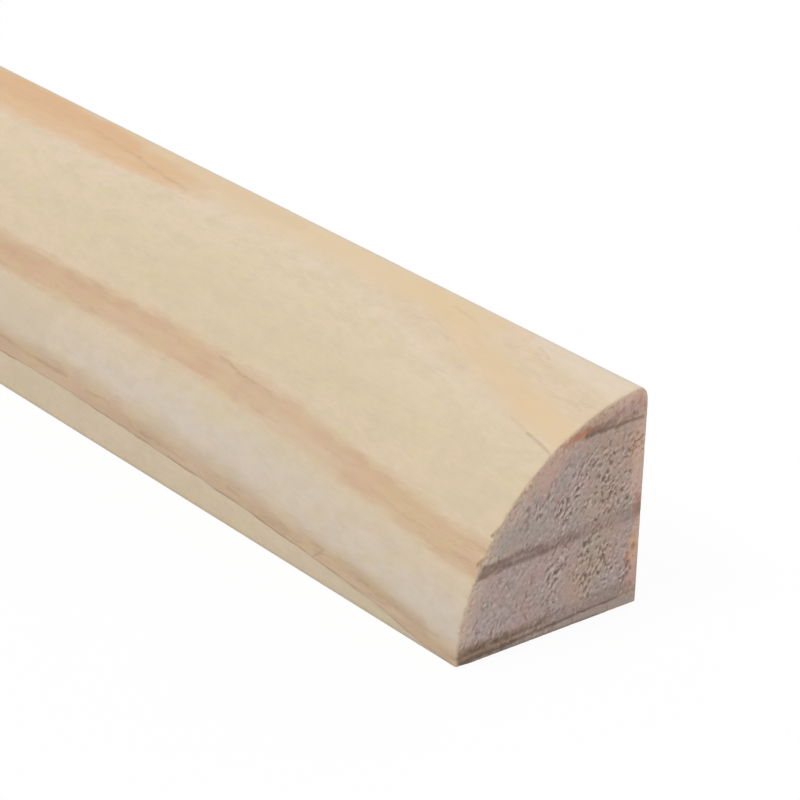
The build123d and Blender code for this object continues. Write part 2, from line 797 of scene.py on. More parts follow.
@dataclass
class Bench:
    """A node tree on the bench: each method sets down nodes and returns what they put out."""

    tree: bpy.types.NodeTree

    def add(self, kind: str, *terms: Term, **settings: object) -> bpy.types.Node:
        """Sets down a node.

        Args:
            kind: Its type.
            terms: What its first inputs take, in order.
            settings: Its properties by name.

        Returns:
            The node.
        """
        node = self.tree.nodes.new(kind)
        row, column = divmod(len(self.tree.nodes), NODES_IN_ROW)
        node.location = (NODE_WIDTH * column, -NODE_HEIGHT * row)
        for name, value in settings.items():
            setattr(node, name, value)
        for socket, term in zip(node.inputs, terms):
            self.feed(socket, term)
        return node

    def feed(self, socket: Socket, term: Term) -> None:
        """Joins a socket to another node's, or sets its value.

        Args:
            socket: The input.
            term: What it takes.
        """
        if isinstance(term, Socket):
            self.tree.links.new(term, socket)
        else:
            socket.default_value = term

    def supply(self, node: bpy.types.Node, terms: dict[str, Term]) -> None:
        """Feeds a node's inputs by their names."""
        for name, term in terms.items():
            self.feed(node.inputs[name], term)

    def sum(self, operation: str, *terms: Term) -> Socket:
        """One step of arithmetic."""
        return self.add("ShaderNodeMath", *terms, operation=operation).outputs[0]

    def minus(self, first: Term, second: Term) -> Socket:
        """One number less another."""
        return self.sum("SUBTRACT", first, second)

    def plus(self, *terms: Term) -> Socket:
        """All the numbers together."""
        return reduce(partial(self.sum, "ADD"), terms)

    def times(self, *terms: Term) -> Socket:
        """The product of all the numbers."""
        return reduce(partial(self.sum, "MULTIPLY"), terms)

    def vector(self, operation: str, *terms: Term) -> Socket:
        """One step of vector arithmetic."""
        node = self.add("ShaderNodeVectorMath", *terms, operation=operation)
        return node.outputs["Value" if operation in ("DOT_PRODUCT", "LENGTH") else "Vector"]

    def split(self, point: Socket) -> tuple[Socket, ...]:
        """The X, Y and Z of a vector."""
        return tuple(self.add("ShaderNodeSeparateXYZ", point).outputs)

    def join(self, x: Term, y: Term, z: Term) -> Socket:
        """The vector with these X, Y and Z."""
        return self.add("ShaderNodeCombineXYZ", x, y, z).outputs[0]

    def step(
        self, value: Term, low: Term, high: Term, bottom: float = 0.0, top: float = 1.0
    ) -> Socket:
        """A soft step, from bottom where the value is low to top where it is high."""
        terms = (value, low, high, bottom, top)
        return self.add("ShaderNodeMapRange", *terms, interpolation_type="SMOOTHSTEP").outputs[0]

    def noise(self, point: Socket, waves: Waves) -> Socket:
        """Smooth noise through the wood, 0 to 1 and mostly near a half.

        Args:
            point: Where to read it, in millimetres.
            waves: The size and kind of the noise.

        Returns:
            The noise.
        """
        scaled = self.vector("MULTIPLY", point, tuple(1.0 / size for size in waves.size))
        moved = self.vector("ADD", scaled, (waves.place, waves.place * NOISE_SLANT, -waves.place))
        node = self.add("ShaderNodeTexNoise", moved, noise_dimensions="3D")
        self.supply(node, {"Scale": 1.0, "Detail": waves.detail, "Roughness": waves.rough})
        return node.outputs["Fac"]

    def waver(self, point: Socket, waves: Waves, reach: Term) -> Socket:
        """Noise about zero, as wide as its reach."""
        return self.times(self.minus(self.noise(point, waves), 0.5), reach)

    def blend(self, share: Term, low: Term, high: Term) -> Socket:
        """Mixes two colours.

        Args:
            share: How much of the second.
            low: The first colour.
            high: The second colour.

        Returns:
            The colour.
        """
        node = self.add("ShaderNodeMix", share, data_type="RGBA", clamp_factor=True)
        colours = [socket for socket in node.inputs if socket.type == "RGBA"]
        self.feed(colours[0], low)
        self.feed(colours[1], high)
        return next(socket for socket in node.outputs if socket.type == "RGBA")

    def pick(self, turn: Term, colours: Sequence[Colour]) -> Socket:
        """One of a few colours that share out 0 to 1 evenly.

        Args:
            turn: Where to read them, 0 to 1.
            colours: The colours in order.

        Returns:
            The colour.
        """
        node = self.add("ShaderNodeValToRGB", turn)
        band = node.color_ramp
        band.interpolation = "CONSTANT"
        while len(band.elements) < len(colours):
            band.elements.new(0.5)
        for i, colour in enumerate(colours):
            band.elements[i].position = i / len(colours)
            band.elements[i].color = colour
        return node.outputs["Color"]

    def curve(self, value: Term, points: Sequence[Pair]) -> Socket:
        """A smooth curve through given points, in 0 to 1 both ways.

        Args:
            value: Where to read it.
            points: Its points.

        Returns:
            Its height.
        """
        node = self.add("ShaderNodeFloatCurve")
        line = node.mapping.curves[0]
        while len(line.points) < len(points):
            line.points.new(0.5, 0.5)
        for point, place in zip(line.points, points):
            point.location = place
        node.mapping.update()
        self.feed(node.inputs["Value"], value)
        return node.outputs["Value"]

    def place(self, group: bpy.types.NodeTree, **inputs: Term) -> Outputs:
        """Sets down a node group with this material's own values.

        Args:
            group: The group.
            inputs: Its inputs, with _ for each space of their names.

        Returns:
            Its outputs by name.
        """
        node = self.add("ShaderNodeGroup", node_tree=group)
        for name, term in inputs.items():
            self.feed(node.inputs[name.replace("_", " ").capitalize()], term)
        return node.outputs


def start_group(
    name: str, points: Sequence[str], values: Sequence[str], outputs: Sequence[str]
) -> tuple[Bench, Outputs, bpy.types.Node]:
    """Starts a shader node group.

    Args:
        name: The group's name.
        points: Its inputs that carry a point.
        values: Its inputs that carry a number.
        outputs: Its outputs, all plain numbers.

    Returns:
        A bench for it, what its inputs bring in, and the node that takes its outputs.
    """
    tree = bpy.data.node_groups.new(name, "ShaderNodeTree")
    for labels, way, kind in (
        (points, "INPUT", SocketKind.POINT),
        (values, "INPUT", SocketKind.VALUE),
        (outputs, "OUTPUT", SocketKind.VALUE),
    ):
        for label in labels:
            tree.interface.new_socket(label, in_out=way, socket_type=kind.value)
    bench = Bench(tree)
    return bench, bench.add("NodeGroupInput").outputs, bench.add("NodeGroupOutput")


@dataclass(frozen=True)
class SectionGauge:
    """How far a point of the wood lies from each planed face and from the near end."""

    section: Section
    length: float
    back: float

    def build(self) -> bpy.types.NodeTree:
        """Makes the node group.

        Returns:
            The group, in millimetres throughout.
        """
        gaps = ("Under face", "From back", "From floor", "From near end")
        bench, given, result = start_group("section_gauge", ("Point",), (), gaps)
        x, y, z = bench.split(given["Point"])
        back = self.back / MM
        face_y, face_z = self.section.face_centre()
        centre = (0.0, back + face_y / MM, face_z / MM)
        flat = bench.vector("MULTIPLY", given["Point"], (0.0, 1.0, 1.0))
        radius = bench.vector("LENGTH", bench.vector("SUBTRACT", flat, centre))
        terms = {
            "Under face": bench.minus(self.section.face_radius / MM, radius),
            "From back": bench.minus(back, y),
            "From floor": z,
            "From near end": bench.minus(self.length / 2 / MM, x),
        }
        bench.supply(result, terms)
        return bench.tree


@dataclass(frozen=True)
class GrowthRings:
    """The growth rings through the wood, flat across the section and lifting near the near end.

    Each year's dark latewood starts at a sharp lower edge and fades upwards, towards the pith. The
    edges are the heights of three of them at the heel of the near end, and years above and below
    are as wide as the nearest one. Millimetres throughout.
    """

    length: float
    back: float
    edges: tuple[float, float, float] = (1.0, 7.64, 16.4)
    lift_reach: float = 120.0
    lift_height: float = 4.0
    lift: tuple[Pair, ...] = (
        (0.0, 0.0),
        (0.033, 0.015),
        (0.067, 0.105),
        (0.117, 0.215),
        (0.183, 0.375),
        (0.283, 0.57),
        (0.4, 0.615),
        (0.533, 0.535),
        (0.75, 0.50),
        (1.0, 0.46),
    )
    low_sway: tuple[Levels, ...] = (
        (0.0, 6.0, 0.0, 0.25),
        (8.0, 34.0, 0.0, -0.45),
        (40.0, 60.0, 0.0, 0.70),
    )
    sway_height: Levels = (5.0, 7.0, 1.0, 0.0)
    tilt: float = 0.05
    fan: Levels = (0.0, 16.0, 0.0, 0.07)
    fan_level: float = 9.5
    swings: tuple[tuple[Waves, float], ...] = (
        (Waves((330.0, 60.0, 60.0), 1.0, 0.4, 3.7), 18.0),
        (Waves((120.0, 9.0, 14.0), 1.0, 0.4, 8.1), 3.0),
    )
    swing_reach: Levels = (95.0, 330.0, 0.0, 1.0)
    run_out: float = 0.006
    shiver: Waves = Waves((14.0, 2.4, 2.4), 2.0, 0.55, 1.3)
    shiver_height: float = 0.26
    fray: Waves = Waves((2.6, 0.5, 0.5), 2.0, 0.6, 2.3)
    line_start: float = 0.06

    def height(self, bench: Bench, point: Socket, frayed: Socket) -> Socket:
        """How high a point was in the straight wood, before the rings bent.

        Args:
            bench: The group's bench.
            point: The point.
            frayed: How far the edges of the rings fray.

        Returns:
            The height.
        """
        x, y, z = bench.split(point)
        along = bench.minus(self.length / 2, x)
        lift = bench.curve(bench.sum("DIVIDE", along, self.lift_reach), self.lift)
        lift = bench.times(lift, self.lift_height)
        sway = bench.plus(*(bench.step(along, *levels) for levels in self.low_sway))
        sway = bench.times(sway, bench.step(z, *self.sway_height))
        tilt = bench.times(bench.minus(self.back, y), self.tilt)
        fan = bench.times(bench.step(along, *self.fan), bench.minus(self.fan_level, z))
        swing = bench.plus(*(bench.waver(point, waves, reach) for waves, reach in self.swings))
        swing = bench.times(swing, bench.step(along, *self.swing_reach))
        beyond = bench.sum("MAXIMUM", bench.minus(along, self.swing_reach[0]), 0.0)
        drift = bench.times(beyond, self.run_out)
        shiver = bench.waver(point, self.shiver, self.shiver_height)
        fray = bench.waver(point, self.fray, frayed)
        raised = bench.plus(z, tilt, swing, drift, shiver, fray)
        return bench.minus(raised, bench.plus(lift, sway, fan))

    def build(self) -> bpy.types.NodeTree:
        """Makes the node group.

        Returns:
            The group. It puts out which turn of the colours a year takes, how far through the year
            a point is, and how strong the latewood and its edge line are there.
        """
        values = ("Start", "Solid", "Fade", "Line", "Frayed")
        results = ("Turn", "Through", "Latewood", "Edge line")
        bench, given, result = start_group("growth_rings", ("Point",), values, results)
        height = self.height(bench, given["Point"], given["Frayed"])
        low, middle, top = self.edges
        upper = bench.sum("GREATER_THAN", height, middle)
        width = bench.sum("MULTIPLY_ADD", upper, (top - middle) - (middle - low), middle - low)
        years = bench.sum("DIVIDE", bench.minus(height, middle), width)
        year = bench.sum("FLOOR", years)
        through = bench.minus(years, year)
        above = bench.times(through, width)
        rise = bench.step(above, 0.0, given["Start"])
        end = bench.plus(given["Solid"], given["Fade"])
        fade = bench.step(above, given["Solid"], end, 1.0, 0.0)
        line_rise = bench.step(above, 0.0, self.line_start)
        line_fade = bench.step(above, self.line_start, given["Line"], 1.0, 0.0)
        turn = bench.sum("FLOORED_MODULO", bench.plus(year, YEARS_BELOW_MIDDLE), YEARS)
        terms = {
            "Turn": bench.sum("MULTIPLY_ADD", turn, 1 / YEARS, 0.5 / YEARS),
            "Through": through,
            "Latewood": bench.times(rise, fade),
            "Edge line": bench.times(line_rise, line_fade),
        }
        bench.supply(result, terms)
        return bench.tree


@dataclass(frozen=True)
class PineFibres:
    """The fibres along the stick, seen as fine lines on a planed face and as dots on an end."""

    lines: Waves = Waves((1.0, 1.0, 1.0), 2.0, 0.6, 5.5)
    line_levels: Pair = (0.54, 0.72)
    specks: Waves = Waves((1.3, 0.26, 0.26), 1.0, 0.5, 2.9)
    speck_levels: Pair = (0.62, 0.74)
    mottle: Waves = Waves((38.0, 5.5, 5.5), 2.0, 0.45, 6.3)
    mottle_levels: Pair = (0.33, 0.67)

    def build(self) -> bpy.types.NodeTree:
        """Makes the node group.

        Returns:
            The group, with its point and sizes in millimetres.
        """
        sizes = ("Fibre length", "Fibre width")
        results = ("Lines", "Specks", "Mottle")
        bench, given, result = start_group("pine_fibres", ("Point",), sizes, results)
        point, length, width = (given[name] for name in ("Point", *sizes))
        fibre = bench.vector("DIVIDE", point, bench.join(length, width, width))
        terms = {
            "Lines": bench.step(bench.noise(fibre, self.lines), *self.line_levels),
            "Specks": bench.step(bench.noise(point, self.specks), *self.speck_levels),
            "Mottle": bench.step(bench.noise(point, self.mottle), *self.mottle_levels),
        }
        bench.supply(result, terms)
        return bench.tree


@dataclass(frozen=True)
class Stain:
    """A soft mark along a straight line through the wood, as a node group."""

    curl: Waves = Waves((3.2, 2.6, 2.6), 2.0, 0.55, 10.6)
    fray: Waves = Waves((2.6, 0.7, 0.7), 2.0, 0.6, 4.4)
    gaps: Waves = Waves((3.0, 0.5, 0.5), 2.0, 0.65, 7.2)
    gap_levels: Pair = (0.42, 0.62)
    tip_levels: Levels = (0.86, 1.0, 1.0, 0.0)

    def build(self) -> bpy.types.NodeTree:
        """Makes the node group.

        Returns:
            The group, with its points and sizes in millimetres.
        """
        points = ("Point", "Start", "Finish")
        values = ("Core", "Soft", "Taper", "Ragged", "Patchy", "Bend")
        bench, given, result = start_group("stain", points, values, ("Mask",))
        point, start, finish = (given[name] for name in points)
        curl = bench.waver(point, self.curl, given["Bend"])
        bent = bench.vector("ADD", point, bench.join(0.0, curl, curl))
        away = bench.vector("SUBTRACT", bent, start)
        line = bench.vector("SUBTRACT", finish, start)
        reach = bench.vector("DOT_PRODUCT", away, line)
        share = bench.sum("DIVIDE", reach, bench.vector("DOT_PRODUCT", line, line))
        held = bench.sum("MINIMUM", bench.sum("MAXIMUM", share, 0.0), 1.0)
        nearest = bench.vector("MULTIPLY", line, bench.join(held, held, held))
        gap = bench.vector("LENGTH", bench.vector("SUBTRACT", away, nearest))
        gap = bench.plus(gap, bench.waver(point, self.fray, given["Ragged"]))
        narrowed = bench.times(held, given["Taper"])
        width = bench.sum("SQRT", bench.minus(1.0, narrowed))
        core = bench.times(given["Core"], width)
        rim = bench.plus(core, bench.times(given["Soft"], width))
        mask = bench.step(gap, core, rim, 1.0, 0.0)
        gaps = bench.step(bench.noise(point, self.gaps), *self.gap_levels)
        kept = bench.minus(1.0, bench.times(gaps, given["Patchy"]))
        tip = bench.step(narrowed, *self.tip_levels)
        bench.supply(result, {"Mask": bench.times(mask, tip, kept)})
        return bench.tree


@dataclass(frozen=True)
class WoodGroups:
    """The node groups that both finishes place."""

    gauge: bpy.types.NodeTree
    rings: bpy.types.NodeTree
    fibres: bpy.types.NodeTree
    stain: bpy.types.NodeTree


@dataclass(frozen=True)
class Mark:
    """One mark in the wood: a line in millimetres, how wide and soft it is, and its colour.

    A taper of 1 brings it to a point at its finish.
    """

    start: Point
    finish: Point
    core: float
    soft: float
    amount: float
    colour: Colour
    ragged: float = 0.3
    taper: float = 0.0
    patchy: float = 0.0
    bend: float = 0.0


@dataclass(frozen=True)
class BandShape:
    """How a latewood band starts, how deep it is solid, how far it fades and how it frays."""

    start: float
    solid: float
    fade: float
    frayed: float


@dataclass(frozen=True)
class Surface:
    """How a finish takes the light: how strong and how deep its bumps are, and its shine."""

    strength: float
    depth: float
    shine: float


def fresh_bench(owner: Union[bpy.types.Material, bpy.types.World]) -> Bench:
    """A bench for the nodes of a material or a surround.

    Args:
        owner: The material or the surround, which loses the nodes that it starts with.

    Returns:
        The bench.
    """
    owner.use_nodes = True
    owner.node_tree.nodes.clear()
    return Bench(owner.node_tree)


@dataclass
class Coat(Bench):
    """The nodes of a finish, the place in the wood in millimetres, and the colour so far."""

    material: bpy.types.Material
    shader: bpy.types.Node
    point: Socket
    colour: Term = (0.0, 0.0, 0.0, 1.0)

    def read(self, group: bpy.types.NodeTree, **inputs: Term) -> Outputs:
        """What a node group puts out at the place in the wood."""
        return self.place(group, point=self.point, **inputs)

    def share(self, waves: Waves, *levels: float) -> Socket:
        """A soft step of the noise in the wood."""
        return self.step(self.noise(self.point, waves), *levels)

    def tint(self, colour: Term, tint: Tint) -> Socket:
        """A colour with a tint over it."""
        share = self.share(tint.waves, tint.low, tint.high, 0.0, tint.amount)
        return self.blend(share, colour, tint.colour)

    def lay(self, colour: Term, *shares: Term) -> None:
        """Lays a colour over the wood, as strong as the product of its shares."""
        self.colour = self.blend(self.times(*shares), self.colour, colour)

    def lay_marks(self, stain: bpy.types.NodeTree, marks: Sequence[Mark]) -> None:
        """Lays marks over the wood.

        Args:
            stain: The stain group.
            marks: The marks.
        """
        for mark in marks:
            values = asdict(mark)
            amount, colour = values.pop("amount"), values.pop("colour")
            self.lay(colour, self.read(stain, **values)["Mask"], amount)

    def finish(self, surface: Surface, rough: Socket, height: Socket) -> bpy.types.Material:
        """Feeds the shader.

        Args:
            surface: How the finish takes the light.
            rough: How rough it is.
            height: The height of its bumps.

        Returns:
            The material.
        """
        bump = self.add("ShaderNodeBump")
        terms = {"Strength": surface.strength, "Distance": surface.depth, "Height": height}
        self.supply(bump, terms)
        terms = {
            "Base Color": self.colour,
            "Roughness": rough,
            "Normal": bump.outputs["Normal"],
            "Specular IOR Level": surface.shine,
        }
        self.supply(self.shader, terms)
        return self.material


def start_coat(name: str) -> Coat:
    """Starts a finish.

    Args:
        name: The material's name.

    Returns:
        Its coat, with no colour yet.
    """
    material = bpy.data.materials.new(name)
    bench = fresh_bench(material)
    shader = bench.add("ShaderNodeBsdfPrincipled")
    bench.add("ShaderNodeOutputMaterial", shader.outputs["BSDF"])
    place = bench.add("ShaderNodeTexCoord").outputs["Object"]
    point = bench.vector("MULTIPLY", place, (1 / MM, 1 / MM, 1 / MM))
    return Coat(bench.tree, material, shader, point)


@dataclass(frozen=True)
class PlanedPine:
    """Bare planed pine: cream earlywood in year-to-year tints, tan latewood, fine fibres.

    Each row of four goes with the years from the floor up. The bands near the floor and those
    above have shapes of their own, and change from one to the other between two heights.
    """

    marks: tuple[Mark, ...]
    earlywood: tuple[Colour, ...] = (
        shade(215, 200, 171),
        shade(218, 204, 187),
        shade(219, 200, 169),
        shade(227, 208, 184),
    )
    ripe: tuple[Colour, ...] = (
        shade(214, 199, 172),
        shade(217, 201, 176),
        shade(224, 205, 177),
        shade(227, 208, 184),
    )
    latewood: tuple[Colour, ...] = (
        shade(207, 180, 146),
        shade(198, 170, 140),
        shade(206, 172, 140),
        shade(221, 185, 138),
    )
    band_strength: tuple[Colour, ...] = (grey(0.8), grey(0.9), grey(0.95), grey(0.22))
    line_strength: tuple[Colour, ...] = (grey(0.15), grey(0.70), grey(0.0), grey(0.05))
    low_bands: BandShape = BandShape(0.12, 0.90, 1.70, 0.25)
    high_bands: BandShape = BandShape(1.10, 2.35, 1.00, 1.10)
    between_bands: Pair = (3.5, 7.0)
    edge_line: float = 0.26
    ripening: Pair = (0.64, 1.0)
    rosy: Colour = shade(227, 204, 178)
    mottled: float = 0.5
    line: Colour = shade(146, 112, 84)
    fibre: Colour = shade(176, 156, 122)
    fibre_size: Pair = (7.0, 0.24)
    fibre_lines: float = 0.035
    fibre_specks: float = 0.09
    blotch: Waves = Waves((4.4, 2.1, 2.1), 2.0, 0.55, 14.1)
    tints: tuple[Tint, ...] = (
        Tint(Waves((2.4, 1.3, 1.3), 3.0, 0.6, 12.4), 0.38, 0.66, 0.30, shade(204, 188, 158)),
        Tint(blotch, 0.44, 0.32, 0.30, rosy),
        Tint(blotch, 0.54, 0.68, 0.32, shade(219, 203, 162)),
        Tint(Waves((0.9, 0.32, 0.32), 2.0, 0.7, 3.3), 0.40, 0.66, 0.07, fibre),
    )
    streaks: Waves = Waves((12.0, 1.1, 1.1), 2.0, 0.6, 5.1)
    uneven: Levels = (0.34, 0.66, 0.84, 1.0)
    late_tints: tuple[Tint, ...] = (
        Tint(streaks, 0.62, 0.36, 0.50, shade(219, 184, 156)),
        Tint(blotch, 0.48, 0.60, 0.60, shade(211, 184, 143)),
    )
    breaks: Waves = Waves((8.0, 1.4, 1.4), 2.0, 0.55, 7.7)
    ripples: Waves = Waves((5.0, 0.9, 0.9), 2.0, 0.55, 9.1)
    ripple_width: Levels = (0.0, 0.035, 1.0, 0.0)
    ripple_breaks: Pair = (0.40, 0.62)
    ripple_heights: Levels = (3.5, 8.0, 0.20, 0.10)
    line_breaks: Levels = (0.38, 0.60, 0.15, 0.9)
    line_heights: Levels = (4.5, 7.0, 1.0, 0.15)
    # painted highlight: the pale grey sheen along the arris of the top tip, made ragged by the same
    # noise that breaks up the sawdust
    rubs: Waves = Waves((5.0, 0.8, 0.8), 2.0, 0.5, 9.9)
    worn: Colour = shade(203, 196, 184)
    worn_ragged: float = 0.8
    worn_from_back: Levels = (0.7, 1.7, 1.0, 0.0)
    worn_under_face: Levels = (0.3, 1.2, 0.75, 0.0)
    sawdust: Colour = shade(212, 184, 152)
    dust_ragged: float = 0.5
    dust_reach: Levels = (0.20, 0.62, 1.0, 0.0)
    dust_breaks: Levels = (0.36, 0.60, 0.22, 0.75)
    roughness: Levels = (0.0, 1.0, 0.56, 0.66)
    surface: Surface = Surface(0.22, 0.012 * MM, 0.35)

    def build(self, groups: WoodGroups) -> bpy.types.Material:
        """Makes the material.

        Args:
            groups: The wood's node groups.

        Returns:
            The material.
        """
        coat = start_coat("planed_pine")
        gauge = coat.read(groups.gauge)
        floor = gauge["From floor"]
        low, high = asdict(self.low_bands), asdict(self.high_bands)
        shape = {key: coat.step(floor, *self.between_bands, low[key], high[key]) for key in low}
        rings = coat.read(groups.rings, line=self.edge_line, **shape)
        length, width = self.fibre_size
        fibres = coat.read(groups.fibres, fibre_length=length, fibre_width=width)

        # earlywood, and the bands of latewood over it
        turn = rings["Turn"]
        coat.colour = coat.pick(turn, self.earlywood)
        coat.lay(coat.pick(turn, self.ripe), coat.step(rings["Through"], *self.ripening))
        coat.lay(self.rosy, fibres["Mottle"], self.mottled)
        coat.colour = reduce(coat.tint, self.tints, coat.colour)
        late = reduce(coat.tint, self.late_tints, coat.pick(turn, self.latewood))
        uneven = coat.share(self.streaks, *self.uneven)
        coat.lay(late, rings["Latewood"], uneven, coat.pick(turn, self.band_strength))

        # thin dark ripples in the bands, the broken line along each one's edge, and the fibres
        breaks = coat.noise(coat.point, self.breaks)
        ripple = coat.sum("ABSOLUTE", coat.minus(coat.noise(coat.point, self.ripples), 0.5))
        coat.lay(
            self.line,
            coat.step(ripple, *self.ripple_width),
            coat.step(breaks, *self.ripple_breaks),
            coat.step(floor, *self.ripple_heights),
            rings["Latewood"],
        )
        coat.lay(
            self.line,
            coat.step(breaks, *self.line_breaks),
            coat.step(floor, *self.line_heights),
            coat.pick(turn, self.line_strength),
            rings["Edge line"],
        )
        coat.lay(self.fibre, fibres["Lines"], self.fibre_lines)
        coat.lay(self.fibre, fibres["Specks"], self.fibre_specks)
        coat.lay_marks(groups.stain, self.marks)

        # a painted highlight along the arris of the top tip, and sawdust beside the near end
        rub = coat.noise(coat.point, self.rubs)
        tip = coat.plus(gauge["From back"], coat.times(rub, self.worn_ragged))
        under = coat.step(gauge["Under face"], *self.worn_under_face)
        coat.lay(self.worn, coat.step(tip, *self.worn_from_back), under)
        near = coat.plus(gauge["From near end"], coat.times(rub, self.dust_ragged))
        broken = coat.step(rub, *self.dust_breaks)
        coat.lay(self.sawdust, coat.step(near, *self.dust_reach), broken)
        rough = coat.step(fibres["Lines"], *self.roughness)
        return coat.finish(self.surface, rough, coat.minus(rings["Latewood"], fibres["Lines"]))


@dataclass(frozen=True)
class SawnPine:
    """Sawn end grain: mauve-grey cut fibres, brown latewood crossed by rays, tan torn tufts.

    Each row of four goes with the years from the floor up. Painted shade darkens the torn pits and
    a painted highlight lightens the torn tufts. Both lie under the bands and the marks, and again,
    fainter, over them.
    """

    marks: tuple[Mark, ...]
    cut: Colour = shade(177, 156, 150)
    pale_cut: Colour = shade(205, 187, 181)
    cells: Waves = Waves((4.0, 0.42, 0.42), 3.0, 0.7, 2.2)
    cell_levels: Pair = (0.34, 0.66)
    tints: tuple[Tint, ...] = (
        Tint(Waves((9.0, 2.3, 2.8), 2.0, 0.6, 4.9), 0.42, 0.68, 0.55, shade(199, 166, 156)),
        Tint(Waves((9.0, 2.6, 2.1), 2.0, 0.6, 9.3), 0.46, 0.70, 0.50, shade(177, 168, 155)),
    )
    latewood: Colour = shade(134, 108, 95)
    line: Colour = shade(100, 77, 66)
    band_strength: tuple[Colour, ...] = (grey(0.3), grey(0.42), grey(0.60), grey(0.30))
    line_strength: tuple[Colour, ...] = (grey(0.0), grey(0.75), grey(0.10), grey(0.1))
    bands: BandShape = BandShape(0.22, 1.0, 0.5, 0.35)
    edge_line: float = 0.24
    breaks: Waves = Waves((4.0, 1.6, 0.6), 3.0, 0.65, 5.9)
    break_levels: Levels = (0.36, 0.62, 0.50, 1.0)
    ray: Colour = shade(194, 178, 171)
    rays: Waves = Waves((9.0, 0.22, 7.0), 1.0, 0.5, 3.1)
    ray_levels: Pair = (0.56, 0.72)
    ray_gaps: float = 0.5
    ray_amount: float = 0.18
    # painted shade: the brown laid into the torn pits, under the bands and again over them; the
    # fibre specks take it too
    pit: Colour = shade(128, 107, 95)
    pit_levels: Pair = (-0.02, -0.80)
    pits: Pair = (0.75, 0.35)
    # painted highlight: the pale colour laid onto the torn tufts that stand up beside the pits
    tuft: Colour = shade(222, 205, 190)
    tuft_levels: Pair = (0.04, 0.60)
    tufts: Pair = (0.85, 0.18)
    fringe: Colour = shade(228, 202, 180)
    fringe_waves: Waves = Waves((2.0, 0.5, 0.5), 2.0, 0.65, 8.8)
    fringe_ragged: float = 0.9
    wide_fringe: Levels = (0.0, 2.4, 0.68, 0.0)
    thin_fringe: Levels = (0.08, 0.55, 0.80, 0.0)
    frayed: Colour = shade(172, 140, 112)
    frays: Waves = Waves((1.5, 0.34, 0.34), 2.0, 0.6, 13.3)
    fray_levels: Levels = (0.52, 0.68, 0.0, 0.55)
    fray_reach: Levels = (0.5, 1.3, 1.0, 0.0)
    fibre_size: Pair = (4.0, 0.20)
    fibre_specks: float = 0.20
    roughness: Levels = (0.3, 0.7, 0.72, 0.86)
    surface: Surface = Surface(0.6, 0.04 * MM, 0.2)

    def build(self, groups: WoodGroups) -> bpy.types.Material:
        """Makes the material.

        Args:
            groups: The wood's node groups.

        Returns:
            The material.
        """
        coat = start_coat("sawn_pine")
        under = coat.read(groups.gauge)["Under face"]
        rings = coat.read(groups.rings, line=self.edge_line, **asdict(self.bands))
        length, width = self.fibre_size
        fibres = coat.read(groups.fibres, fibre_length=length, fibre_width=width)
        torn = coat.add("ShaderNodeAttribute", attribute_name=TORN).outputs["Fac"]
        # painted shade where the relief mark sinks into a pit, painted highlight where a torn fibre
        # stands up
        pit, tuft = coat.step(torn, *self.pit_levels), coat.step(torn, *self.tuft_levels)
        edge = coat.plus(under, coat.waver(coat.point, self.fringe_waves, self.fringe_ragged))

        # the cut fibres, paler under the face, and what the saw tore, with painted shade in its
        # pits and a painted highlight on its tufts
        cells = coat.noise(coat.point, self.cells)
        coat.colour = coat.blend(coat.step(cells, *self.cell_levels), self.cut, self.pale_cut)
        coat.colour = reduce(coat.tint, self.tints, coat.colour)
        coat.lay(self.fringe, coat.step(edge, *self.wide_fringe))
        coat.lay(self.pit, pit, self.pits[0])
        coat.lay(self.tuft, tuft, self.tufts[0])

        # the broken bands of latewood, the line along each one's edge, and the rays
        turn = rings["Turn"]
        rays = coat.share(self.rays, *self.ray_levels)
        breaks = coat.share(self.breaks, *self.break_levels)
        strength = coat.times(coat.pick(turn, self.band_strength), breaks)
        gaps = coat.minus(1.0, coat.times(rays, self.ray_gaps))
        coat.lay(self.latewood, rings["Latewood"], strength, gaps)
        coat.lay(self.line, rings["Edge line"], coat.pick(turn, self.line_strength), breaks)
        coat.lay(self.ray, rays, self.ray_amount)
        coat.lay_marks(groups.stain, self.marks)

        # the painted shade in the pits and the painted highlight on the tufts again, and the frayed
        # fibres along the face
        coat.lay(self.pit, pit, self.pits[1])
        coat.lay(self.tuft, tuft, self.tufts[1])
        coat.lay(self.fringe, coat.step(edge, *self.thin_fringe))
        frays = coat.share(self.frays, *self.fray_levels)
        coat.lay(self.frayed, frays, coat.step(under, *self.fray_reach))
        # the fibre specks take the brown of the painted pit shade
        coat.lay(self.pit, fibres["Specks"], self.fibre_specks)
        return coat.finish(self.surface, coat.step(cells, *self.roughness), cells)


@dataclass(frozen=True)
class Sun:
    """A broad, even lamp: where it stands as seen from the stick, how strong and how wide."""

    name: str
    towards: Point
    strength: float
    width: float
    colour: tuple[float, float, float] = (1.0, 1.0, 1.0)

    def hang(self) -> None:
        """Adds the lamp to the scene."""
        lamp = bpy.data.lights.new(self.name, "SUN")
        lamp.energy = self.strength * FULL_SUN
        lamp.angle = radians(self.width)
        lamp.color = self.colour
        holder = bpy.data.objects.new(self.name, lamp)
        holder.rotation_euler = Vector(self.towards).to_track_quat("Z", "Y").to_euler()
        bpy.context.scene.collection.objects.link(holder)


